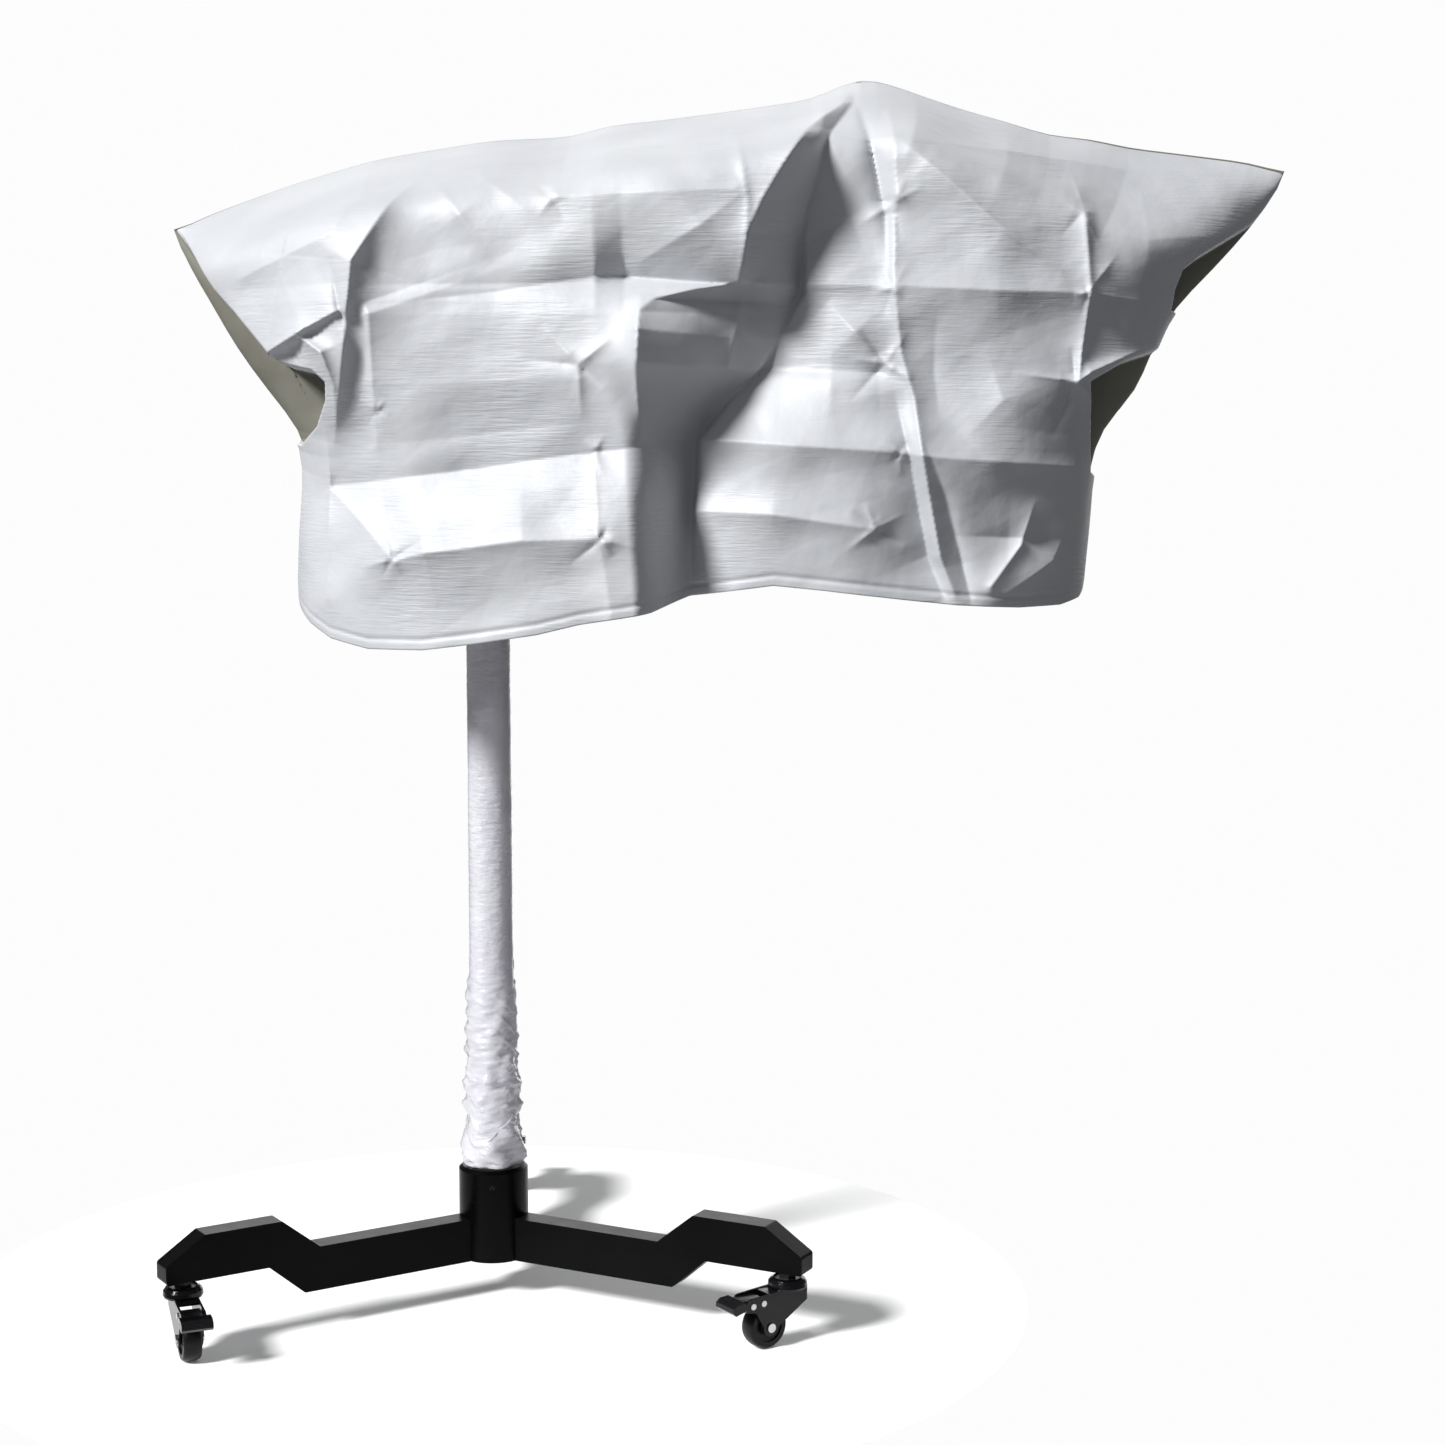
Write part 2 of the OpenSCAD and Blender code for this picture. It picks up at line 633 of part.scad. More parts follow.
// Pedal that sets and frees the brake, pressed down at its far end
module caster_brake_pedal(number) {
    p = pedal_pivot;
    color(caster_colour) at_leg(number) difference() {
        union() {
            translate([p.x, 0, p.y]) rotate([90, 0, 0]) translate([0, 0, -fork_in + 0.5])
                cylinder(r = 4, h = 2 * fork_in - 1);
            rotate([90, 0, 0]) translate([0, 0, -fork_in + 1]) linear_extrude(2 * fork_in - 2)
                polygon([[p.x - 3, p.y + 0.5], [p.x - 1, p.y + 5.5], [p.x + 30, p.y + 5.5],
                    [p.x + 30, p.y - 1]]);
            rotate([90, 0, 0]) translate([0, 0, -pedal_half]) linear_extrude(2 * pedal_half)
                polygon([[p.x + 26.2, p.y + 6.4], [p.x + 37, p.y + 5.6], [p.x + 42, p.y + 2],
                    [p.x + 42.6, p.y - 3], [p.x + 39, p.y - 6.4], [p.x + 26.2, p.y - 3]]);
        }
        translate([p.x, 0, p.y]) rotate([90, 0, 0]) translate([0, 0, -30])
            cylinder(r = pedal_pin_r + run_fit, h = 60);
    }
}

module caster_left_stem() { caster_stem(0); }
module caster_left_housing() { caster_housing(0); }
module caster_left_axle() { caster_axle(0); }
module caster_left_rivets() { caster_rivets(0); }
module caster_left_tyre() { caster_tyre(0); }
module caster_left_core() { caster_core(0); }
module caster_left_brake_pedal() { caster_brake_pedal(0); }
module caster_right_stem() { caster_stem(1); }
module caster_right_housing() { caster_housing(1); }
module caster_right_axle() { caster_axle(1); }
module caster_right_rivets() { caster_rivets(1); }
module caster_right_tyre() { caster_tyre(1); }
module caster_right_core() { caster_core(1); }
module caster_right_brake_pedal() { caster_brake_pedal(1); }
module caster_back_stem() { caster_stem(2); }
module caster_back_housing() { caster_housing(2); }
module caster_back_axle() { caster_axle(2); }
module caster_back_rivets() { caster_rivets(2); }
module caster_back_tyre() { caster_tyre(2); }
module caster_back_core() { caster_core(2); }
module caster_back_brake_pedal() { caster_brake_pedal(2); }

// ---------- nodes ----------

base_hub();
leg_left();
leg_right();
leg_back();
leg_bolts();
hub_set_screws();
pole_tube();
pole_foot_plug();
pole_bolt();
pole_film();
pole_top_bush();
pole_spindle();
boom_collar();
collar_bushes();
thrust_washer();
collar_cap();
boom_tube();
boom_end_cap();
boom_screws();
mast_socket();
mast();
mast_finial();
mast_circlip();
lock_knob();
lock_stud();
rotor_hub();
rotor_bush();
arm_1();
arm_2();
arm_3();
arm_4();
arm_end_caps();
rotor_screws();
line_inner();
line_middle();
line_outer();
line_clips();
cover();
caster_left_stem();
caster_left_housing();
caster_left_axle();
caster_left_rivets();
caster_left_tyre();
caster_left_core();
caster_left_brake_pedal();
caster_right_stem();
caster_right_housing();
caster_right_axle();
caster_right_rivets();
caster_right_tyre();
caster_right_core();
caster_right_brake_pedal();
caster_back_stem();
caster_back_housing();
caster_back_axle();
caster_back_rivets();
caster_back_tyre();
caster_back_core();
caster_back_brake_pedal();
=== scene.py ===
"""Looks of a wheeled rotary clothesline that stands under a silver dust cover."""
import json
import math

import bpy
import numpy as np
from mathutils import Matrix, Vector


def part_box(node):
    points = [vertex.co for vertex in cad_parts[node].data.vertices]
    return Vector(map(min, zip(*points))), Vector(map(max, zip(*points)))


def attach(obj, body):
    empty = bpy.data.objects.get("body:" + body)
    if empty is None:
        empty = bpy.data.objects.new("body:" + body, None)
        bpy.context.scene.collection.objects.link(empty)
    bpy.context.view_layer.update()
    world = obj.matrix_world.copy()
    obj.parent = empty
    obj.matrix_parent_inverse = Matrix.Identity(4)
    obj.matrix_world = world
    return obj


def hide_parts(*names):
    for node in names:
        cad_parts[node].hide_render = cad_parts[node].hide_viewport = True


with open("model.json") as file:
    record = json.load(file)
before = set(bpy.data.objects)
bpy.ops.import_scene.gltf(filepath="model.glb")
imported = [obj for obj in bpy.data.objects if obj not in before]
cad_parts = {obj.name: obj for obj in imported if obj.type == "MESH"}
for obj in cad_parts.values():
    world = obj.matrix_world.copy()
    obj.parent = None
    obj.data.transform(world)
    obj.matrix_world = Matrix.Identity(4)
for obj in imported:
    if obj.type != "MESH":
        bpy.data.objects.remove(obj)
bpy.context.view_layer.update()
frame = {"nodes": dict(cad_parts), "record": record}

SEED = 7
# Farther than any two places on the object
FAR = 9.0


# ---------- small helpers ----------

def smooth(x, low, high):
    """0 below low, 1 above high, a soft step between."""
    t = np.clip((x - low) / (high - low), 0, 1)
    return t * t * (3 - 2 * t)


def follow(points, x):
    """The value at x of the line through (x, value) points."""
    xs, values = zip(*sorted(points))
    return np.interp(x, xs, values)


def follow_softly(points, x, reach):
    """The same line with its corners rounded over the reach."""
    return (follow(points, x - reach) + 2 * follow(points, x) + follow(points, x + reach)) / 4


def ripples(x, y, count, wave, rng):
    """A soft random field: count sine waves of about one length, in many directions."""
    field = np.zeros(np.broadcast(x, y).shape)
    for _ in range(count):
        angle = rng.uniform(-math.pi / 2, math.pi / 2)
        length = wave * rng.uniform(0.7, 1.5)
        phase = rng.uniform(0, 2 * math.pi)
        field += np.sin(2 * math.pi * (x * math.cos(angle) + y * math.sin(angle)) / length + phase)
    return field / math.sqrt(count)


def grid_faces(rows, columns, closed):
    """Quads of a grid of points kept row by row, closed round each row if asked."""
    across = columns if closed else columns - 1
    r, c = np.meshgrid(np.arange(rows - 1), np.arange(across), indexing="ij")
    n = (c + 1) % columns
    near, far = r * columns, (r + 1) * columns
    return np.stack([near + c, near + n, far + n, far + c], -1).reshape(-1, 4)


def add_object(name, data):
    """Put a mesh, a light or a camera into the scene."""
    made = bpy.data.objects.new(name, data)
    bpy.context.scene.collection.objects.link(made)
    return made


def new_mesh(name, points, faces, material):
    """A smoothly shaded mesh object in the scene."""
    mesh = bpy.data.meshes.new(name)
    mesh.from_pydata([tuple(p) for p in points], [], [tuple(int(i) for i in f) for f in faces])
    mesh.update()
    mesh.materials.append(material)
    mesh.polygons.foreach_set("use_smooth", [True] * len(mesh.polygons))
    return add_object(name, mesh)


def thicken(piece, thickness):
    """Give a sheet its thickness, added on its inner side."""
    skin = piece.modifiers.new("thickness", "SOLIDIFY")
    skin.thickness = thickness
    return skin


# ---------- materials ----------

class Shader:
    """A Principled material with short calls for the nodes that feed it."""

    def __init__(self, name, colour, roughness, **sockets):
        self.material = bpy.data.materials.new(name)
        self.material.use_nodes = True
        self.nodes = self.material.node_tree.nodes
        self.links = self.material.node_tree.links
        self.bsdf = self.nodes["Principled BSDF"]
        self.bsdf.inputs["Base Color"].default_value = (*colour, 1)
        self.bsdf.inputs["Roughness"].default_value = roughness
        for socket, value in sockets.items():
            self.bsdf.inputs[socket.replace("_", " ")].default_value = value
        self.coordinates = self.nodes.new("ShaderNodeTexCoord").outputs["Object"]
        self.normal = None

    def node(self, kind, **inputs):
        """A new node with some of its inputs set."""
        made = self.nodes.new(kind)
        for socket, value in inputs.items():
            made.inputs[socket.replace("_", " ")].default_value = value
        return made

    def noise(self, scale, detail=4, stretch=(1, 1, 1), turn=(0, 0, 0)):
        """Noise in the piece's own space, finer along an axis that is stretched more."""
        mapping = self.node("ShaderNodeMapping", Scale=stretch, Rotation=turn)
        self.links.new(self.coordinates, mapping.inputs["Vector"])
        made = self.node("ShaderNodeTexNoise", Scale=scale, Detail=detail)
        self.links.new(mapping.outputs["Vector"], made.inputs["Vector"])
        return made.outputs["Fac"]

    def mix_colour(self, factor, low, high, start=0.3, end=0.7):
        """Blend two colours where the factor runs from start to end."""
        ramp = self.nodes.new("ShaderNodeValToRGB")
        ramp.color_ramp.elements[0].position = start
        ramp.color_ramp.elements[1].position = end
        ramp.color_ramp.elements[0].color = (*low, 1)
        ramp.color_ramp.elements[1].color = (*high, 1)
        self.links.new(factor, ramp.inputs["Fac"])
        self.links.new(ramp.outputs["Color"], self.bsdf.inputs["Base Color"])

    def vary_roughness(self, factor, low, high):
        """Let the roughness follow the factor from low to high."""
        spread = self.node("ShaderNodeMapRange", To_Min=low, To_Max=high)
        self.links.new(factor, spread.inputs["Value"])
        self.links.new(spread.outputs["Result"], self.bsdf.inputs["Roughness"])

    def bump(self, height, distance, strength=1.0):
        """Add a bump on top of those made before."""
        made = self.node("ShaderNodeBump", Strength=strength, Distance=distance)
        self.links.new(height, made.inputs["Height"])
        if self.normal is not None:
            self.links.new(self.normal, made.inputs["Normal"])
        self.normal = made.outputs["Normal"]
        self.links.new(self.normal, self.bsdf.inputs["Normal"])


def powder_coat(name, colour, roughness, shine=0.45):
    """Sprayed coat with a fine orange peel and a little dust and rubbing."""
    shader = Shader(name, colour, roughness, Specular_IOR_Level=shine)
    shader.mix_colour(shader.noise(9, 5), colour, [c * 2.5 for c in colour], 0.4, 0.75)
    shader.vary_roughness(shader.noise(35, 6), roughness - 0.08, roughness + 0.1)
    shader.bump(shader.noise(900, 2), 0.0002, 0.5)
    shader.bump(shader.noise(60, 3), 0.0006, 0.3)
    return shader.material


def turned_metal(name, colour, roughness):
    """Bright metal with fine turning marks and a faint stain."""
    shader = Shader(name, colour, roughness, Metallic=1.0)
    shader.mix_colour(shader.noise(60, 4), [c * 0.8 for c in colour], colour)
    shader.vary_roughness(shader.noise(140, 3, (1, 1, 14)), roughness - 0.06, roughness + 0.12)
    shader.bump(shader.noise(500, 2, (1, 1, 10)), 0.0001, 0.5)
    return shader.material


def moulded(name, colour, roughness, shine=0.45):
    """Moulded plastic with a fine grain."""
    shader = Shader(name, colour, roughness, Specular_IOR_Level=shine)
    shader.mix_colour(shader.noise(14, 3), colour, [c * 1.35 + 0.001 for c in colour])
    shader.vary_roughness(shader.noise(60, 4), roughness - 0.05, roughness + 0.08)
    shader.bump(shader.noise(1400, 2), 0.00015, 0.6)
    return shader.material


def clear_film():
    """Clear stretch film in many layers, milky, half see-through and crinkled."""
    shader = Shader("wrap_film", (0.90, 0.89, 0.95), 0.16, Coat_Weight=0.8, Coat_Roughness=0.08,
                    Specular_IOR_Level=0.6, Alpha=0.62)
    shader.mix_colour(shader.noise(30, 5, (1, 1, 0.35)), (0.55, 0.54, 0.59), (0.70, 0.70, 0.73))
    shader.vary_roughness(shader.noise(90, 4), 0.08, 0.32)
    shader.bump(shader.noise(70, 5, (1, 1, 2.6), (0.5, 0.2, 0)), 0.0025, 0.8)
    shader.bump(shader.noise(260, 3, (1, 1, 3)), 0.0006, 0.6)
    return shader.material


def twisted_cord():
    """Plastic-coated cord with its strands showing through."""
    shader = Shader("line_cord", (0.82, 0.82, 0.80), 0.4)
    shader.mix_colour(shader.noise(400, 2), (0.70, 0.70, 0.68), (0.88, 0.88, 0.86))
    shader.bump(shader.noise(1500, 2, (1, 1, 4)), 0.0003, 0.7)
    return shader.material


def coated_cloth():
    """Thin cloth with a silver coat: satin, fine slanting ripples in patches, a faint weave."""
    shader = Shader("cover_cloth", (0.50, 0.51, 0.53), 0.55, Metallic=0.08, Specular_IOR_Level=0.3)
    shader.mix_colour(shader.noise(6, 6), (0.455, 0.465, 0.49), (0.515, 0.525, 0.545), 0.35, 0.65)
    shader.vary_roughness(shader.noise(11, 6), 0.5, 0.62)
    patches = shader.noise(7, 3)
    spread = shader.node("ShaderNodeMapRange", From_Min=0.45, From_Max=0.62)
    shader.links.new(patches, spread.inputs["Value"])
    fine = shader.noise(30, 2, (0.9, 0.9, 13), (0, 0.3, 0))
    masked = shader.node("ShaderNodeMath")
    masked.operation = "MULTIPLY"
    shader.links.new(fine, masked.inputs[0])
    shader.links.new(spread.outputs["Result"], masked.inputs[1])
    shader.bump(masked.outputs["Value"], 0.0017, 0.5)
    shader.bump(shader.noise(22, 5), 0.004, 0.35)
    shader.bump(shader.noise(1300, 2), 0.0002, 0.35)
    return shader.material


def cloth_inside_and_painted_shade():
    """The uncoated inside of the cover, dull olive-grey, dark enough to be painted shade in the side
    gaps.
    """
    shader = Shader("cover_inside_painted_shade", (0.16, 0.155, 0.125), 0.8)
    shader.mix_colour(shader.noise(8, 5), (0.13, 0.125, 0.10), (0.20, 0.195, 0.16))
    shader.bump(shader.noise(1300, 2), 0.0003, 0.5)
    return shader.material


def floor_paper():
    """Plain white paper with hardly any mottling."""
    shader = Shader("floor", (0.93, 0.93, 0.93), 0.75)
    shader.mix_colour(shader.noise(1.5, 3), (0.92, 0.92, 0.92), (0.94, 0.94, 0.94))
    return shader.material


def make_materials():
    """One material for each slot of the record."""
    return {
        "leg_coat": powder_coat("leg_coat", (0.0008, 0.0008, 0.0009), 0.30, 0.06),
        "hub_coat": powder_coat("hub_coat", (0.0008, 0.0008, 0.0009), 0.28, 0.07),
        "dark_steel": turned_metal("dark_steel", (0.06, 0.06, 0.065), 0.4),
        "zinc_bolt": turned_metal("zinc_bolt", (0.33, 0.35, 0.26), 0.35),
        "pole_paint": powder_coat("pole_paint", (0.56, 0.56, 0.60), 0.35),
        "black_plastic": moulded("black_plastic", (0.012, 0.012, 0.013), 0.45),
        "bright_steel": turned_metal("bright_steel", (0.60, 0.61, 0.63), 0.25),
        "bearing_plastic": moulded("bearing_plastic", (0.70, 0.67, 0.58), 0.5),
        "boom_paint": powder_coat("boom_paint", (0.70, 0.70, 0.76), 0.35),
        "wrap_film": clear_film(),
        "line_cord": twisted_cord(),
        "cover_cloth": coated_cloth(),
        "caster_steel": turned_metal("caster_steel", (0.62, 0.62, 0.64), 0.22),
        "caster_black": powder_coat("caster_black", (0.0012, 0.0012, 0.0016), 0.14, 0.28),
        "caster_core": moulded("caster_core", (0.003, 0.003, 0.004), 0.3, 0.2),
        "caster_tyre": moulded("caster_tyre", (0.002, 0.002, 0.002), 0.35, 0.2),
    }


# ---------- CAD nodes: materials and softened edges ----------

# Widths of the softened edges, by node and by caster sub-part
EDGE_WIDTHS = {"leg_left": 0.003, "leg_right": 0.003, "leg_back": 0.003, "base_hub": 0.0018,
               "boom_collar": 0.0015, "mast_socket": 0.0012, "lock_knob": 0.0015,
               "rotor_hub": 0.0012, "boom_end_cap": 0.0012, "mast_finial": 0.001}
CASTER_EDGES = {"housing": 0.0009, "brake_pedal": 0.0008, "axle": 0.0008, "rivets": 0.0005,
                "stem": 0.0007}
EDGE_STEPS = 3
# Edges that turn less than this, in degrees, stay as they are
SOFTEN_ABOVE = 38


def dress_nodes(materials):
    """Give each CAD node its slot's material and, where listed, softened edges."""
    slot_of = {p["node"]: p["material_slot"] for p in frame["record"]["subparts"]}
    for name, node in frame["nodes"].items():
        node.data.materials.clear()
        node.data.materials.append(materials[slot_of[name]])
        width = EDGE_WIDTHS.get(name)
        if name.startswith("caster_"):
            width = CASTER_EDGES.get(name.split("_", 2)[2])
        if width:
            bevel = node.modifiers.new("soft_edges", "BEVEL")
            bevel.width = width
            bevel.segments = EDGE_STEPS
            bevel.limit_method = "ANGLE"
            bevel.angle_limit = math.radians(SOFTEN_ABOVE)


# ---------- cover ----------

# The cover's outline in metres: its ridge as (x, height), its two ends as (height, x)
RIDGE = [(-0.351, 1.222), (-0.307, 1.242), (-0.262, 1.258), (-0.217, 1.274), (-0.172, 1.287),
         (-0.127, 1.300), (-0.082, 1.308), (0.007, 1.322), (0.097, 1.326), (0.141, 1.339),
         (0.186, 1.343), (0.275, 1.354), (0.365, 1.367), (0.395, 1.380), (0.42, 1.391),
         (0.454, 1.384), (0.499, 1.368), (0.543, 1.354), (0.588, 1.342), (0.633, 1.328),
         (0.678, 1.324), (0.723, 1.314), (0.767, 1.309), (0.857, 1.298), (0.898, 1.287)]
LEFT_EDGE = [(0.780, -0.200), (0.82, -0.208), (0.890, -0.205), (0.960, -0.199), (1.000, -0.209),
             (1.045, -0.245), (1.090, -0.278), (1.135, -0.304), (1.179, -0.330), (1.222, -0.351)]
RIGHT_EDGE = [(0.780, 0.655), (0.82, 0.671), (0.890, 0.677), (0.956, 0.680), (1.001, 0.694),
              (1.045, 0.733), (1.090, 0.750), (1.135, 0.774), (1.179, 0.818), (1.223, 0.858),
              (1.268, 0.890), (1.287, 0.898)]
# Hems as (share of the width, height)
FRONT_HEM = [(0, 0.815), (0.03, 0.792), (0.06, 0.777), (0.11, 0.768), (0.18, 0.769), (0.24, 0.776),
             (0.32, 0.787), (0.37, 0.798), (0.42, 0.805), (0.455, 0.810), (0.5, 0.824),
             (0.55, 0.830), (0.60, 0.836), (0.66, 0.831), (0.74, 0.823), (0.82, 0.815), (0.9, 0.811),
             (0.955, 0.812), (0.985, 0.818), (1, 0.83)]
BACK_HEM = [(0, 0.815), (0.08, 0.800), (0.3, 0.795), (0.45, 0.815), (0.6, 0.835), (0.75, 0.828),
            (0.92, 0.818), (1, 0.83)]

# Half of the cover's size from front to back
COVER_HALF = 0.243
# The roof slopes down to this height, and by at least the drop: (share of the width, drop)
ROOF_Z = 1.300
ROOF_DROP = [(0, 0.060), (0.2, 0.070), (0.75, 0.075), (0.86, 0.105), (1, 0.110)]
ROOF_SOFTNESS = 0.22
# Roundness of the outline seen from above: an ellipse at 2, squarer above that
TOP_POWER, HEM_POWER = 2.2, 3.0
OUTLINE_ROUNDING = 0.02
COVER_THICKNESS = 0.0012
# The mesh's size, how far its columns crowd towards the two ends and its rows towards the top
COVER_COLUMNS, COVER_ROWS = 560, 330
CROWDING = 0.7
ROW_POWER = 1.12
FIRST_ROW = 0.0015
# The folds of the left and right panels are this much higher than listed
FOLD_GAIN = 1.45
# Heights of the fine crumple on the front and back, and of the broad and narrow ripples
FRONT_CRUMPLE, BACK_CRUMPLE = 0.0019, 0.0014
BROAD_RIPPLE, NARROW_RIPPLE = 0.0022, 0.0007
# The hem's groove: its depth, how far above the edge it lies, and its half width
GROOVE_DEPTH, GROOVE_RISE, GROOVE_HALF = 0.0016, 0.011, 0.0025


def cover_shape(s, t, front):
    """Places of the cover's smooth form at shares s of the width and t of the drop."""
    first, last = RIDGE[0], RIDGE[-1]
    hems = FRONT_HEM if front else BACK_HEM
    top = follow_softly(RIDGE, first[0] + s * (last[0] - first[0]), OUTLINE_ROUNDING)
    z = top + (follow(hems, s) - top) * t
    left = follow_softly(LEFT_EDGE, first[1] + (hems[0][1] - first[1]) * t, OUTLINE_ROUNDING)
    right = follow_softly(RIGHT_EDGE, last[1] + (hems[-1][1] - last[1]) * t, OUTLINE_ROUNDING)
    x = left + (right - left) * s
    power = TOP_POWER + (HEM_POWER - TOP_POWER) * np.minimum(1, 2 * t)
    full = np.maximum(0, 1 - np.abs(2 * s - 1) ** power) ** (1 / power)
    fall = np.maximum(top - ROOF_Z, follow(ROOF_DROP, s))
    drop = (top - z) / fall
    ramp = np.maximum(0, (1 + drop - np.sqrt((1 - drop) ** 2 + ROOF_SOFTNESS ** 2)) / 2)
    return x, z, COVER_HALF * full * ramp, ramp


# Folds of the front. Each is (reach on the left of its run, reach on the right, points), and a
# point is (x, z, height): a sharp line that stands out (above 0) or goes in (below 0) and
# falls away over its reach. The left of a run to the right is above it.
LEFT_FOLDS = [
    (0.012, 0.060, [(-0.10, 1.127, -0.002), (0.037, 1.141, -0.004), (0.136, 1.156, -0.004)]),
    (0.040, 0.020, [(0.136, 1.156, -0.002), (0.165, 1.157, -0.022), (0.29, 1.146, -0.027)]),
    (0.060, 0.055, [(-0.155, 0.939, -0.012), (0.014, 0.959, -0.018), (0.135, 0.976, -0.016),
                    (0.20, 0.983, -0.010)]),
    (0.070, 0.042, [(-0.078, 0.864, 0.011), (-0.043, 0.871, 0.020), (0.061, 0.885, 0.020),
                    (0.143, 0.887, 0.011)]),
    (0.030, 0.030, [(-0.154, 0.939, 0.004), (-0.117, 0.905, 0.007), (-0.078, 0.864, 0.005)]),
    (0.030, 0.030, [(-0.09, 1.046, 0.001), (0.02, 1.047, 0.002), (0.11, 1.052, 0.001)]),
    (0.120, 0.050, [(-0.08, 0.985, -0.002), (0.02, 0.995, -0.006), (0.11, 1.005, -0.003)]),
    (0.070, 0.006, [(0.183, 1.14, 0.0), (0.180, 1.10, 0.018), (0.178, 1.06, 0.010),
                    (0.182, 1.00, 0.0)]),
    (0.012, 0.015, [(0.03, 1.236, 0.0), (0.093, 1.237, 0.002), (0.28, 1.243, 0.003)]),
    (0.020, 0.016, [(0.038, 1.288, 0.003), (0.244, 1.299, 0.005), (0.36, 1.305, 0.004)]),
    (0.020, 0.016, [(0.12, 1.309, 0.001), (0.244, 1.321, 0.004), (0.368, 1.334, 0.003)]),
    (0.004, 0.005, [(0.278, 1.325, 0.001), (0.293, 1.230, 0.002), (0.290, 1.148, 0.002),
                    (0.273, 1.063, 0.002)]),
    (0.030, 0.028, [(0.187, 1.066, 0.006), (0.235, 1.063, 0.010), (0.30, 1.061, 0.008)]),
    (0.030, 0.012, [(0.134, 0.971, 0.003), (0.140, 0.893, 0.005), (0.152, 0.808, 0.003)]),
    (0.020, 0.020, [(-0.046, 1.272, 0.0), (-0.005, 1.22, 0.006), (0.03, 1.17, 0.0)]),
    (0.020, 0.008, [(-0.02, 1.288, 0.0), (0.02, 1.26, 0.003), (0.09, 1.20, 0.0)]),
    (0.05, 0.035, [(0.293, 1.244, 0.001), (0.244, 1.206, 0.008), (0.182, 1.171, 0.004)]),
]
# The left ear's crest, the ridge behind it, the flap's edge and the rolls below it
EAR_FOLDS = [
    (0.020, 0.075, [(-0.046, 1.276, 0.0), (-0.081, 1.229, 0.018), (-0.116, 1.171, 0.032),
                    (-0.124, 1.101, 0.032), (-0.132, 1.045, 0.022), (-0.145, 0.985, 0.006)]),
    (0.055, 0.007, [(-0.104, 1.13, 0.0), (-0.100, 1.118, 0.009), (-0.099, 1.050, 0.009),
                    (-0.096, 0.985, 0.004)]),
    (0.024, 0.030, [(-0.112, 1.262, 0.0), (-0.138, 1.202, 0.008), (-0.242, 1.161, 0.006)]),
    (0.010, 0.004, [(-0.141, 1.178, 0.0), (-0.131, 1.127, -0.007), (-0.124, 1.101, -0.004)]),
    (0.060, 0.005, [(-0.259, 1.129, 0.006), (-0.214, 1.081, 0.016), (-0.170, 1.102, 0.018),
                    (-0.131, 1.121, 0.010)]),
    (0.010, 0.014, [(-0.214, 1.079, 0.004), (-0.174, 1.095, 0.016), (-0.150, 1.079, 0.020),
                    (-0.139, 1.046, 0.010), (-0.140, 1.00, 0.0)]),
    (0.010, 0.010, [(-0.20, 1.098, 0.0), (-0.185, 1.078, -0.006), (-0.175, 1.062, 0.0)]),
    (0.010, 0.020, [(-0.155, 1.01, 0.0), (-0.152, 0.95, 0.010), (-0.155, 0.82, 0.004)]),
]
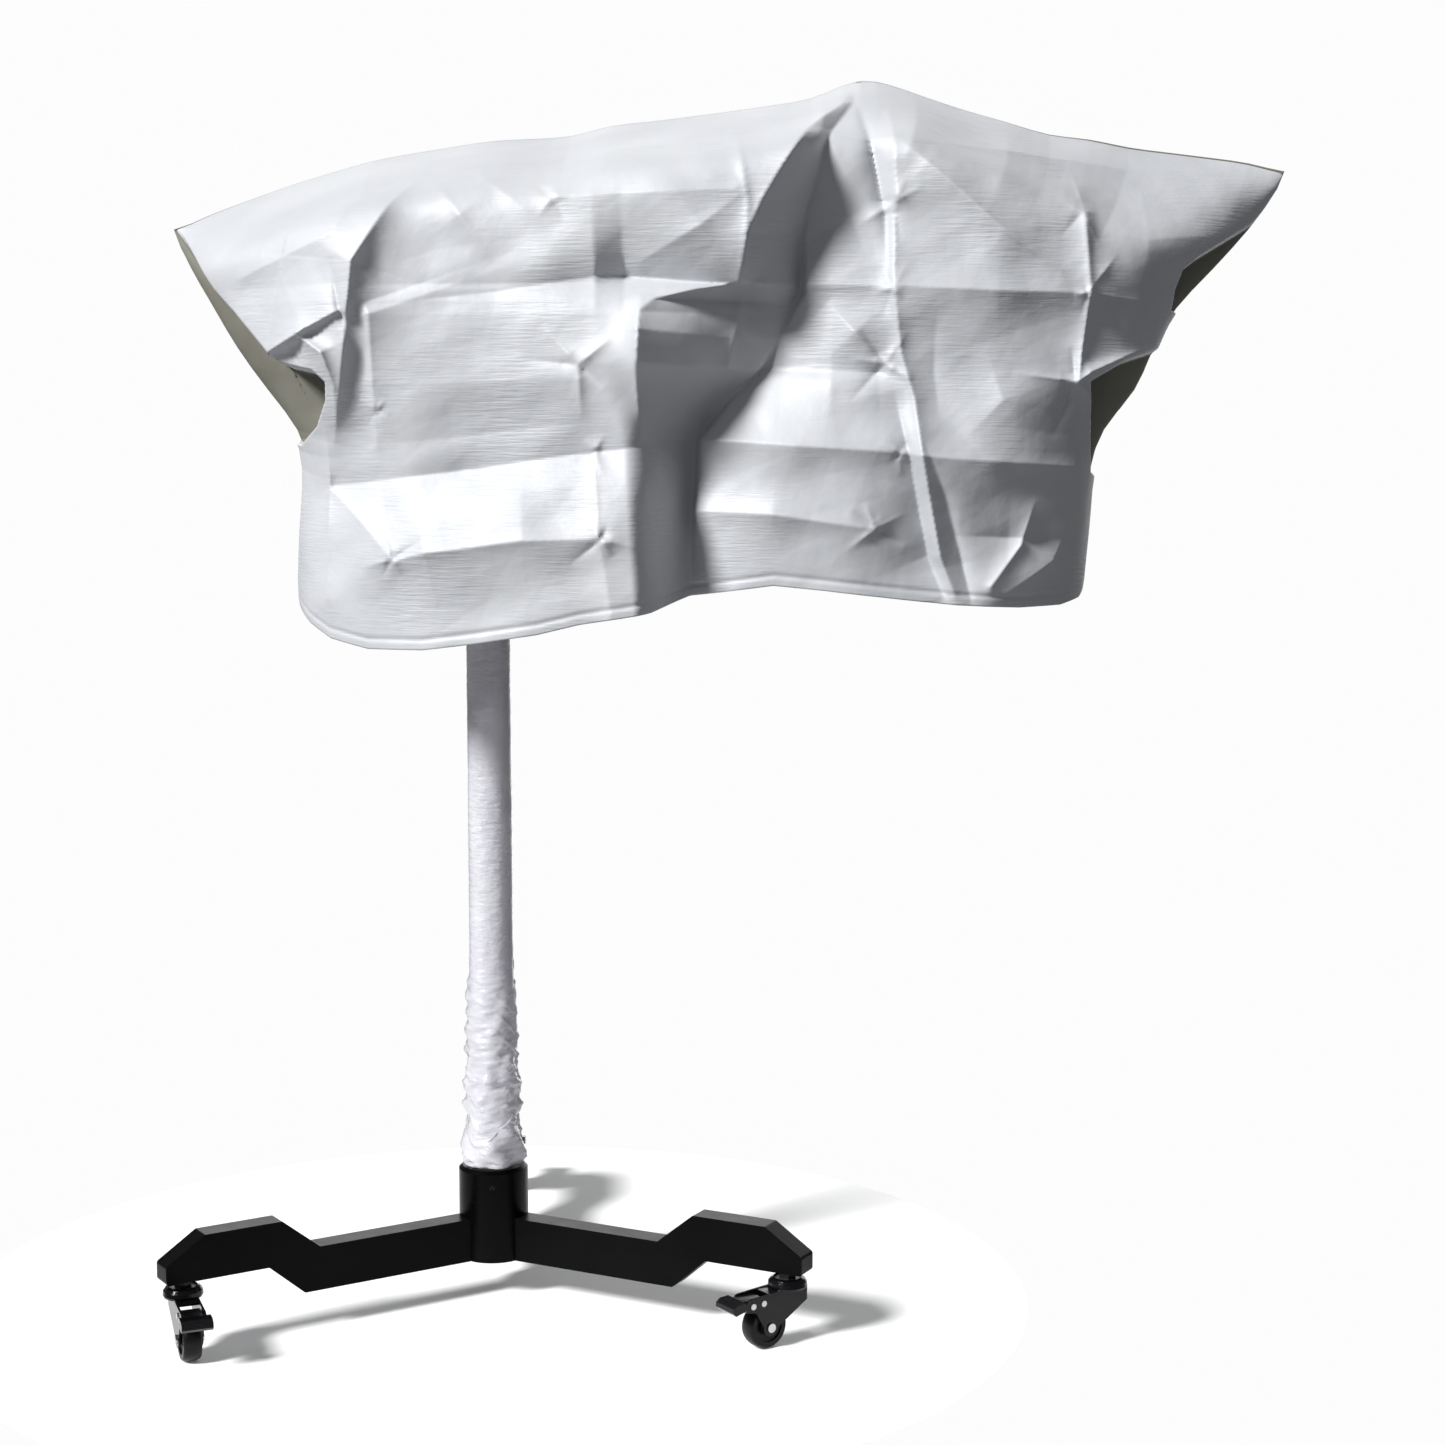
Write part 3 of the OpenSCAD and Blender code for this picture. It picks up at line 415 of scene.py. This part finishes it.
RIGHT_FOLDS = [
    (0.050, 0.045, [(0.348, 1.149, 0.010), (0.436, 1.148, 0.012), (0.554, 1.143, 0.016),
                    (0.647, 1.142, 0.013), (0.732, 1.133, 0.006)]),
    (0.040, 0.045, [(0.246, 0.989, 0.014), (0.430, 0.977, 0.013), (0.494, 0.970, 0.013),
                    (0.642, 0.960, 0.014)]),
    (0.030, 0.035, [(0.239, 0.914, 0.009), (0.319, 0.911, 0.013), (0.426, 0.896, 0.008)]),
    (0.035, 0.016, [(0.30, 1.062, -0.004), (0.37, 1.060, -0.008), (0.437, 1.058, -0.006)]),
    (0.030, 0.030, [(0.515, 0.888, -0.002), (0.57, 0.886, -0.009), (0.63, 0.882, -0.009)]),
    (0.014, 0.012, [(0.368, 1.305, 0.003), (0.420, 1.301, 0.004), (0.451, 1.305, 0.002)]),
    (0.035, 0.012, [(0.478, 1.300, 0.002), (0.588, 1.297, 0.008), (0.676, 1.289, 0.008),
                    (0.848, 1.268, 0.003)]),
    (0.012, 0.008, [(0.410, 1.37, 0.0), (0.424, 1.285, -0.012), (0.436, 1.225, -0.006),
                    (0.440, 1.16, 0.0)]),
    (0.014, 0.006, [(0.444, 1.338, 0.002), (0.447, 1.235, 0.006), (0.444, 1.148, 0.005),
                    (0.453, 1.078, 0.006), (0.467, 1.030, 0.007), (0.474, 0.972, 0.007),
                    (0.495, 0.867, 0.007), (0.512, 0.826, 0.002)]),
    (0.006, 0.040, [(0.446, 1.04, 0.0), (0.462, 0.972, -0.010), (0.484, 0.867, -0.012),
                    (0.500, 0.826, -0.004)]),
    (0.008, 0.025, [(0.470, 1.00, 0.0), (0.500, 0.93, -0.006), (0.520, 0.86, -0.008),
                    (0.530, 0.82, -0.003)]),
    (0.018, 0.026, [(0.451, 1.301, 0.001), (0.480, 1.275, 0.008), (0.56, 1.205, 0.010),
                    (0.62, 1.165, 0.004)]),
    (0.016, 0.020, [(0.376, 1.131, 0.0), (0.405, 1.10, 0.008), (0.434, 1.068, 0.004)]),
    (0.060, 0.050, [(0.33, 1.055, 0.0), (0.38, 1.050, 0.007), (0.43, 1.052, 0.0)]),
    (0.010, 0.014, [(0.645, 1.271, 0.001), (0.648, 1.228, 0.008), (0.653, 1.142, 0.006),
                    (0.641, 1.052, 0.009)]),
    (0.010, 0.010, [(0.649, 1.142, 0.0), (0.668, 1.165, 0.004), (0.684, 1.184, 0.0)]),
    (0.016, 0.012, [(0.600, 0.93, 0.0), (0.583, 0.878, 0.009), (0.55, 0.835, 0.006)]),
    (0.012, 0.030, [(0.64, 0.900, 0.002), (0.62, 0.86, 0.008), (0.565, 0.825, 0.003)]),
    (0.050, 0.050, [(0.54, 1.09, 0.0), (0.56, 1.03, 0.007), (0.52, 0.99, 0.0)]),
    (0.050, 0.060, [(0.36, 1.27, 0.0), (0.40, 1.22, -0.005), (0.42, 1.17, 0.0)]),
    (0.014, 0.020, [(0.49, 1.13, 0.0), (0.488, 1.06, -0.003), (0.495, 1.00, 0.0)]),
    (0.050, 0.040, [(0.66, 1.21, 0.0), (0.72, 1.20, 0.006), (0.80, 1.21, 0.003)]),
    (0.012, 0.010, [(0.635, 1.045, 0.002), (0.655, 1.060, 0.010), (0.709, 1.082, 0.010),
                    (0.745, 1.092, 0.004)]),
]
# Places where creases cross and the cloth is pinched: (x, z, size)
PINCHES = [(0.119, 1.065, 1.3), (-0.078, 0.864, 1.0), (0.143, 0.887, 1.0), (0.426, 0.896, 1.0),
           (0.446, 1.235, 1.0), (0.437, 1.068, 1.2), (0.648, 1.228, 1.0), (0.649, 1.142, 0.8),
           (0.638, 1.050, 1.4), (0.093, 1.237, 0.7), (0.444, 1.145, 0.8), (-0.093, 1.02, 0.6),
           (0.452, 0.975, 0.6), (0.136, 0.976, 0.6)]
# The creases that run out of a pinch, and how far each falls away to its sides
PINCH_RAYS = 5
PINCH_REACH = 0.006
# The long fold from the peak: its bottom and its shoulder as (height, x), its depth as
# (height, depth)
FOLD_BOTTOM = [(0.80, 0.235), (0.914, 0.237), (0.988, 0.242), (1.042, 0.285), (1.066, 0.310),
               (1.142, 0.352), (1.20, 0.351), (1.234, 0.357), (1.290, 0.373), (1.314, 0.383),
               (1.33, 0.394), (1.352, 0.408), (1.40, 0.419)]
FOLD_SHOULDER = [(0.80, 0.191), (0.988, 0.184), (1.065, 0.180), (1.118, 0.181), (1.132, 0.196),
                 (1.142, 0.240), (1.149, 0.284), (1.198, 0.292), (1.233, 0.308), (1.290, 0.343),
                 (1.314, 0.359), (1.33, 0.375), (1.352, 0.398), (1.40, 0.414)]
FOLD_DEPTH = [(0.80, 0.090), (0.988, 0.095), (1.066, 0.100), (1.142, 0.090), (1.234, 0.072),
              (1.298, 0.056), (1.33, 0.036), (1.357, 0.018), (1.40, 0)]
# The share of the depth that stands out before the fold and how far that swell reaches, and how
# far the cloth takes to rise again after the fold as (height, reach)
FOLD_SWELL = 0.45
SWELL_REACH = 0.20
FOLD_REACH = [(0.80, 0.09), (0.98, 0.11), (1.05, 0.17), (1.14, 0.20), (1.20, 0.28), (1.40, 0.28)]
# The fold's wall is soft below the first height and crisp above the second
CRISP_FROM, CRISP_TO = 1.02, 1.09
# Soft folds of the back: (x, half width, depth); they lean towards the peak and end at the roof
BACK_FOLDS = [(0.02, 0.05, 0.030), (0.25, 0.06, 0.022), (0.52, 0.05, 0.030)]
PEAK_X = 0.42
# How the creases of the crumple wander: by how much, and over what length
BEND_HEIGHT, BEND_LENGTH = 0.012, 0.31
# Gaps at the two ends: the front is sunk by a share of its depth and coloured dark as painted shade
# of an inside that shows, with no opening cut. On the back the dark patch moves outward by the
# taper.
GAP_SINK = 0.62
GAP_TAPER = 0.25
SIDE_GAPS = [
    [(-0.36, 1.245), (-0.285, 1.150), (-0.259, 1.125), (-0.214, 1.076), (-0.200, 1.068),
     (-0.165, 1.060), (-0.151, 1.048), (-0.153, 1.030), (-0.166, 1.004), (-0.19, 0.985),
     (-0.30, 0.99), (-0.40, 1.20)],
    [(0.91, 1.262), (0.846, 1.222), (0.787, 1.188), (0.766, 1.172), (0.758, 1.150),
     (0.757, 1.130), (0.80, 1.125), (0.90, 1.20)],
    [(0.658, 1.050), (0.700, 1.073), (0.735, 1.084), (0.765, 1.094), (0.80, 1.06), (0.72, 0.93),
     (0.668, 0.955)],
]


def fold_field(x, z, folds):
    """Sum of the folds' heights at each point."""
    field = np.zeros_like(x)
    for reach_left, reach_right, points in folds:
        nearest = np.full_like(x, FAR)
        height = np.zeros_like(x)
        to_left = np.zeros_like(x)
        for (x0, z0, h0), (x1, z1, h1) in zip(points, points[1:]):
            length = math.hypot(x1 - x0, z1 - z0)
            ux, uz = (x1 - x0) / length, (z1 - z0) / length
            along = np.clip((x - x0) * ux + (z - z0) * uz, 0, length)
            off = np.hypot(x - x0 - along * ux, z - z0 - along * uz)
            closer = off < nearest
            nearest = np.where(closer, off, nearest)
            height = np.where(closer, h0 + (h1 - h0) * along / length, height)
            side = ((z - z0) * ux - (x - x0) * uz) / np.maximum(off, 1e-6)
            to_left = np.where(closer, (1 + np.clip(side, -1, 1)) / 2, to_left)
        reach = reach_right + (reach_left - reach_right) * to_left
        field += height * np.exp(-nearest / reach)
    return field


def pinch_folds(rng):
    """Short creases that run out of each pinch, in turn raised and sunk."""
    folds = []
    for cx, cz, size in PINCHES:
        start = rng.uniform(0, math.pi)
        for k in range(PINCH_RAYS):
            angle = start + k * 2 * math.pi / PINCH_RAYS + rng.uniform(-0.45, 0.45)
            length = size * rng.uniform(0.018, 0.050)
            height = size * rng.uniform(0.003, 0.0052) * (-1 if k % 2 else 1)
            dx, dz = length * math.cos(angle), length * math.sin(angle)
            crease = [(cx, cz, 0.2 * height), (cx + 0.25 * dx, cz + 0.25 * dz, height),
                      (cx + dx, cz + dz, 0.0)]
            folds.append((PINCH_REACH, PINCH_REACH, crease))
    return folds


def inside_outline(x, z, outline):
    """How far each point lies inside an outline, below 0 outside it."""
    inside = np.zeros(x.shape, bool)
    nearest = np.full_like(x, FAR)
    for (x0, z0), (x1, z1) in zip(outline, outline[1:] + outline[:1]):
        length = math.hypot(x1 - x0, z1 - z0)
        ux, uz = (x1 - x0) / length, (z1 - z0) / length
        along = np.clip((x - x0) * ux + (z - z0) * uz, 0, length)
        nearest = np.minimum(nearest, np.hypot(x - x0 - along * ux, z - z0 - along * uz))
        spans = (z0 > z) != (z1 > z)
        cross = x0 + (z - z0) * (x1 - x0) / (z1 - z0 if z1 != z0 else 1e-9)
        inside ^= spans & (x < cross)
    return np.where(inside, nearest, -nearest)


def crumple(x, z, count, wave, rng):
    """Small flat facets that meet in creases: a sum of folded waves, each slightly bent."""
    field = np.zeros_like(x)
    for _ in range(count):
        angle = rng.uniform(0, math.pi)
        length = wave * rng.uniform(0.7, 1.6)
        along = x * math.sin(angle) - z * math.cos(angle)
        bend = BEND_HEIGHT * np.sin(2 * math.pi * along / BEND_LENGTH + rng.uniform(0, 6))
        across = (x * math.cos(angle) + z * math.sin(angle) + bend) / length + rng.uniform(0, 1)
        field += np.abs(across % 1 - 0.5) * 2 - 0.5
    return field / math.sqrt(count)


def front_relief(x, z, depth, ramp, rng):
    """Depth of the front, towards the viewer, with its folds, creases and pinches."""
    bottom = follow(FOLD_BOTTOM, z)
    shoulder = follow(FOLD_SHOULDER, z)
    deep = follow(FOLD_DEPTH, z)
    crisp = smooth(z, CRISP_FROM, CRISP_TO)
    across = (x - shoulder) / (bottom - shoulder)
    wall = crisp * np.clip(across, 0, 1) + (1 - crisp) * smooth(across, -0.35, 1.0)
    before = FOLD_SWELL * np.exp(-np.maximum(0, shoulder - x) / SWELL_REACH)
    after = (1 - FOLD_SWELL) * np.exp(-np.maximum(0, x - bottom) / follow(FOLD_REACH, z))
    fold = deep * np.where(x < bottom, before - wall, -after)
    right = smooth(x - bottom, -0.003, 0.003)
    relief = fold_field(x, z, LEFT_FOLDS) * (1 - right) + fold_field(x, z, RIGHT_FOLDS) * right
    relief = FOLD_GAIN * relief + fold_field(x, z, EAR_FOLDS + pinch_folds(rng))
    relief += FRONT_CRUMPLE * crumple(x, z, 7, 0.075, rng)
    out = depth + (fold + relief) * smooth(ramp, 0.0, 0.6)
    for outline in SIDE_GAPS:
        out = out * (1 - GAP_SINK * smooth(inside_outline(x, z, outline), -0.002, 0.004))
    return out


def back_relief(x, z, depth, ramp, rng):
    """The back: the same packing creases and three soft folds."""
    creases = LEFT_FOLDS[:8] + RIGHT_FOLDS[:6] + RIGHT_FOLDS[11:14]
    relief = fold_field(x, z, creases + pinch_folds(rng))
    for cx, width, deep in BACK_FOLDS:
        lean = cx + 0.25 * (z - 1.0) * (PEAK_X - cx)
        relief -= deep * np.exp(-((x - lean) / width) ** 2) * smooth(-z, -1.28, -1.0)
    relief += BACK_CRUMPLE * crumple(x, z, 7, 0.085, rng)
    return depth + relief * smooth(ramp, 0.0, 0.6)


def cover_side(s, t, is_front, rng):
    """Points of the cover's front or back, with its folds, ripples and the hem's groove."""
    x, z, depth, ramp = cover_shape(s, t, is_front)
    relief = front_relief if is_front else back_relief
    depth = relief(x, z, depth, ramp, rng)
    soft = ripples(x, z, 9, 0.16, rng) * BROAD_RIPPLE + ripples(x, z, 9, 0.055, rng) * NARROW_RIPPLE
    above_hem = z - z[-1]
    soft -= GROOVE_DEPTH * np.exp(-((above_hem - GROOVE_RISE) / GROOVE_HALF) ** 2)
    ends = smooth(s, 0, 0.03) * smooth(1 - s, 0, 0.03)
    depth = np.maximum(depth + soft * ends * smooth(ramp, 0, 0.5), 0)
    depth = np.where((s == 0) | (s == 1), 0, depth)
    return x, -depth if is_front else depth, z


def paint_shade_in_gaps(cover):
    """Colour the side gaps with the dark inside colour as painted shade; the cloth is not opened."""
    cover.data.materials.append(cloth_inside_and_painted_shade())
    centres = np.empty(3 * len(cover.data.polygons))
    cover.data.polygons.foreach_get("center", centres)
    x, y, z = centres.reshape(-1, 3).T
    # Faces inside a gap take the dark inside colour as painted shade; no opening is cut
    painted_shade_faces = np.zeros(len(x), bool)
    for outline in SIDE_GAPS:
        inward = math.copysign(GAP_TAPER, outline[0][0]) * np.maximum(y, 0)
        painted_shade_faces |= inside_outline(x - inward, z, outline) > 0.002
    cover.data.polygons.foreach_set("material_index", painted_shade_faces.astype(np.int32))


def make_cover(materials):
    """One bag: columns run along the front to the right ear and along the back to the left one."""
    rng = np.random.default_rng(SEED)
    column = np.arange(2 * COVER_COLUMNS)
    front = column <= COVER_COLUMNS
    s = np.where(front, column, 2 * COVER_COLUMNS - column) / COVER_COLUMNS
    s = (1 - np.cos(s * math.pi)) / 2 * CROWDING + s * (1 - CROWDING)
    t = np.linspace(FIRST_ROW, 1, COVER_ROWS) ** ROW_POWER
    s, t = np.meshgrid(s, t)
    points = np.zeros((*s.shape, 3))
    for is_front in (True, False):
        pick = front if is_front else ~front
        points[:, pick] = np.stack(cover_side(s[:, pick], t[:, pick], is_front, rng), -1)
    faces = grid_faces(COVER_ROWS, 2 * COVER_COLUMNS, True)
    cover = new_mesh("dust_cover", points.reshape(-1, 3), faces[:, ::-1], materials["cover_cloth"])
    paint_shade_in_gaps(cover)
    # The bag's inner face takes the next material, the uncoated inside, whose dark colour is also
    # the painted shade in the gaps
    thicken(cover, COVER_THICKNESS).material_offset = 1
    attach(cover, "cover_body")
    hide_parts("cover")


# ---------- film ----------

# Folds of loose film that stand out: (degrees round the pole, height, size in millimetres)
FILM_TAGS = [(180, 0.367, 2.5), (185, 0.352, 4), (176, 0.332, 3), (182, 0.310, 4.5),
             (178, 0.285, 4), (184, 0.250, 5), (352, 0.250, 5), (2, 0.224, 4.5), (182, 0.225, 3),
             (262, 0.345, 2.2), (285, 0.322, 2.5), (250, 0.298, 2.5), (290, 0.276, 3),
             (265, 0.258, 3), (300, 0.240, 3), (240, 0.232, 2.5), (272, 0.214, 3.5),
             (230, 0.200, 3), (310, 0.195, 3.5), (270, 0.183, 2.5), (20, 0.300, 2.5),
             (60, 0.27, 3), (100, 0.31, 3), (130, 0.24, 3.5), (80, 0.21, 3.5), (150, 0.29, 3)]
# A loose strand of film: (degrees round the pole, height), with its half width and steps
FILM_STRAND = [(318, 0.214), (305, 0.207), (290, 0.198), (275, 0.190), (262, 0.185)]
STRAND_RADIUS = 0.0325
STRAND_HALF = 0.0022
STRAND_STEPS = 40
STRAND_THICKNESS = 0.0004
# The film's radius as (height above its foot, radius)
FILM_PROFILE = [(0, 0.0335), (0.012, 0.0355), (0.03, 0.0345), (0.045, 0.030), (0.08, 0.0295),
                (0.15, 0.0285), (0.20, 0.0275), (0.225, 0.0258), (0.26, 0.0253), (2, 0.0253)]
FILM_ROWS, FILM_AROUND = 520, 160
FILM_THICKNESS = 0.0003
# Least space between the pole and the film's outer face
FILM_SPACE = 0.0006


def add_strand(material):
    """A narrow strip of film that lies slantwise over the bunched end."""
    points = []
    places, heights = zip(*FILM_STRAND)
    for k in range(STRAND_STEPS + 1):
        along = k / STRAND_STEPS * (len(FILM_STRAND) - 1)
        angle = math.radians(follow(enumerate(places), along))
        height = follow(enumerate(heights), along)
        radius = STRAND_RADIUS + 0.0022 * math.sin(along * 2.2)
        for edge in (-STRAND_HALF, STRAND_HALF):
            lift = radius + 0.0012 * (edge > 0)
            points.append((lift * math.cos(angle), lift * math.sin(angle), height + edge))
    strand = new_mesh("film_strand", points, grid_faces(STRAND_STEPS + 1, 2, False), material)
    thicken(strand, STRAND_THICKNESS)
    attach(strand, "stand")
    return strand


def make_film(materials):
    """Stretch film round the pole: smooth above, bunched and spread out near the hub."""
    low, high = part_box("pole_film")
    pole_low, pole_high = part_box("pole_tube")
    pole_radius = (pole_high.x - pole_low.x) / 2
    rng = np.random.default_rng(SEED + 1)
    turns = np.linspace(0, 2 * math.pi, FILM_AROUND, endpoint=False)
    angle, z = np.meshgrid(turns, np.linspace(low.z + 0.001, high.z, FILM_ROWS))
    up = z - low.z
    loose = smooth(-up, -0.28, -0.10)
    flare = smooth(-up, -0.05, -0.02)
    arc = angle * 0.03
    wraps = np.abs(np.sin((z * 38 + angle * 0.5) * math.pi + 1.1 * np.sin(angle * 2 + z * 25)))
    wrinkle = ripples(arc * 1.6, z * 2.2, 14, 0.05, rng) * 0.0011
    wrinkle += ripples(arc, z * 3, 16, 0.022, rng) * 0.0006
    radius = follow(FILM_PROFILE, up) + loose * (0.0022 * (1 - wraps) ** 3 + wrinkle)
    radius += flare * 0.0024 * np.sin(angle * 5 + z * 90) + (1 - loose) * wrinkle * 0.10
    for place, height, size in FILM_TAGS:
        turn = np.angle(np.exp(1j * (angle - math.radians(place))))
        lean = (z - height + 0.006 * turn) / (0.0035 + 0.0006 * size)
        radius += 0.001 * size * np.exp(-(turn / 0.42) ** 2 - lean ** 2)
    radius = np.maximum(radius, pole_radius + FILM_SPACE)
    points = np.stack([radius * np.cos(angle), radius * np.sin(angle), z], -1).reshape(-1, 3)
    faces = grid_faces(FILM_ROWS, FILM_AROUND, True)
    film = new_mesh("stretch_film", points, faces, materials["wrap_film"])
    thicken(film, FILM_THICKNESS)
    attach(film, "stand")
    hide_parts("pole_film")
    add_strand(materials["wrap_film"])


# ---------- stage ----------

FLOOR_RADIUS = 0.62
SKY_COLOUR = (0.96, 0.98, 1, 1)
SKY_STRENGTH = 0.20
BACKDROP_STRENGTH = 0.98
# The camera stands before the middle of the cover
CAMERA_PLACE = (0.267, -2.916, 0.977)
CAMERA_DOWN = 6.05
CAMERA_SENSOR, CAMERA_LENS = 36, 63.83


def make_floor():
    """A small white disc: it takes the base's shadow and throws little light up."""
    bpy.ops.mesh.primitive_circle_add(radius=FLOOR_RADIUS, vertices=128, fill_type="NGON")
    floor = bpy.context.object
    floor.name = "floor"
    floor.data.materials.append(floor_paper())


def add_sun(name, direction, energy, spread):
    """A sun that shines along a direction, with a spread in degrees that softens shadows."""
    sun = bpy.data.lights.new(name, "SUN")
    sun.energy = energy
    sun.angle = math.radians(spread)
    lamp = add_object(name, sun)
    lamp.rotation_euler = Vector(direction).to_track_quat("-Z", "Y").to_euler()
    return sun


def make_light():
    """A soft key from the upper left, a weak fill from behind, an even sky and a white backdrop."""
    world = bpy.data.worlds.new("studio")
    world.use_nodes = True
    nodes, links = world.node_tree.nodes, world.node_tree.links
    sky = nodes["Background"]
    sky.inputs["Color"].default_value = SKY_COLOUR
    sky.inputs["Strength"].default_value = SKY_STRENGTH
    backdrop = nodes.new("ShaderNodeBackground")
    backdrop.inputs["Color"].default_value = (1, 1, 1, 1)
    backdrop.inputs["Strength"].default_value = BACKDROP_STRENGTH
    mixed = nodes.new("ShaderNodeMixShader")
    links.new(nodes.new("ShaderNodeLightPath").outputs["Is Camera Ray"], mixed.inputs["Fac"])
    links.new(sky.outputs["Background"], mixed.inputs[1])
    links.new(backdrop.outputs["Background"], mixed.inputs[2])
    links.new(mixed.outputs["Shader"], nodes["World Output"].inputs["Surface"])
    bpy.context.scene.world = world
    add_sun("key", (0.62, 0.52, -0.59), energy=5.5, spread=12)
    add_sun("fill", (-0.15, -0.95, -0.25), energy=1.5, spread=60).use_shadow = False


def make_camera():
    """Level with the cover's lower half, looking slightly down."""
    data = bpy.data.cameras.new("camera")
    data.sensor_width = CAMERA_SENSOR
    data.lens = CAMERA_LENS
    camera = add_object("camera", data)
    camera.location = CAMERA_PLACE
    camera.rotation_euler = (math.radians(90 - CAMERA_DOWN), 0, 0)
    bpy.context.scene.camera = camera


make_camera()
materials = make_materials()
dress_nodes(materials)
make_cover(materials)
make_film(materials)
make_floor()
make_light()
bpy.context.scene.view_settings.view_transform = "Standard"
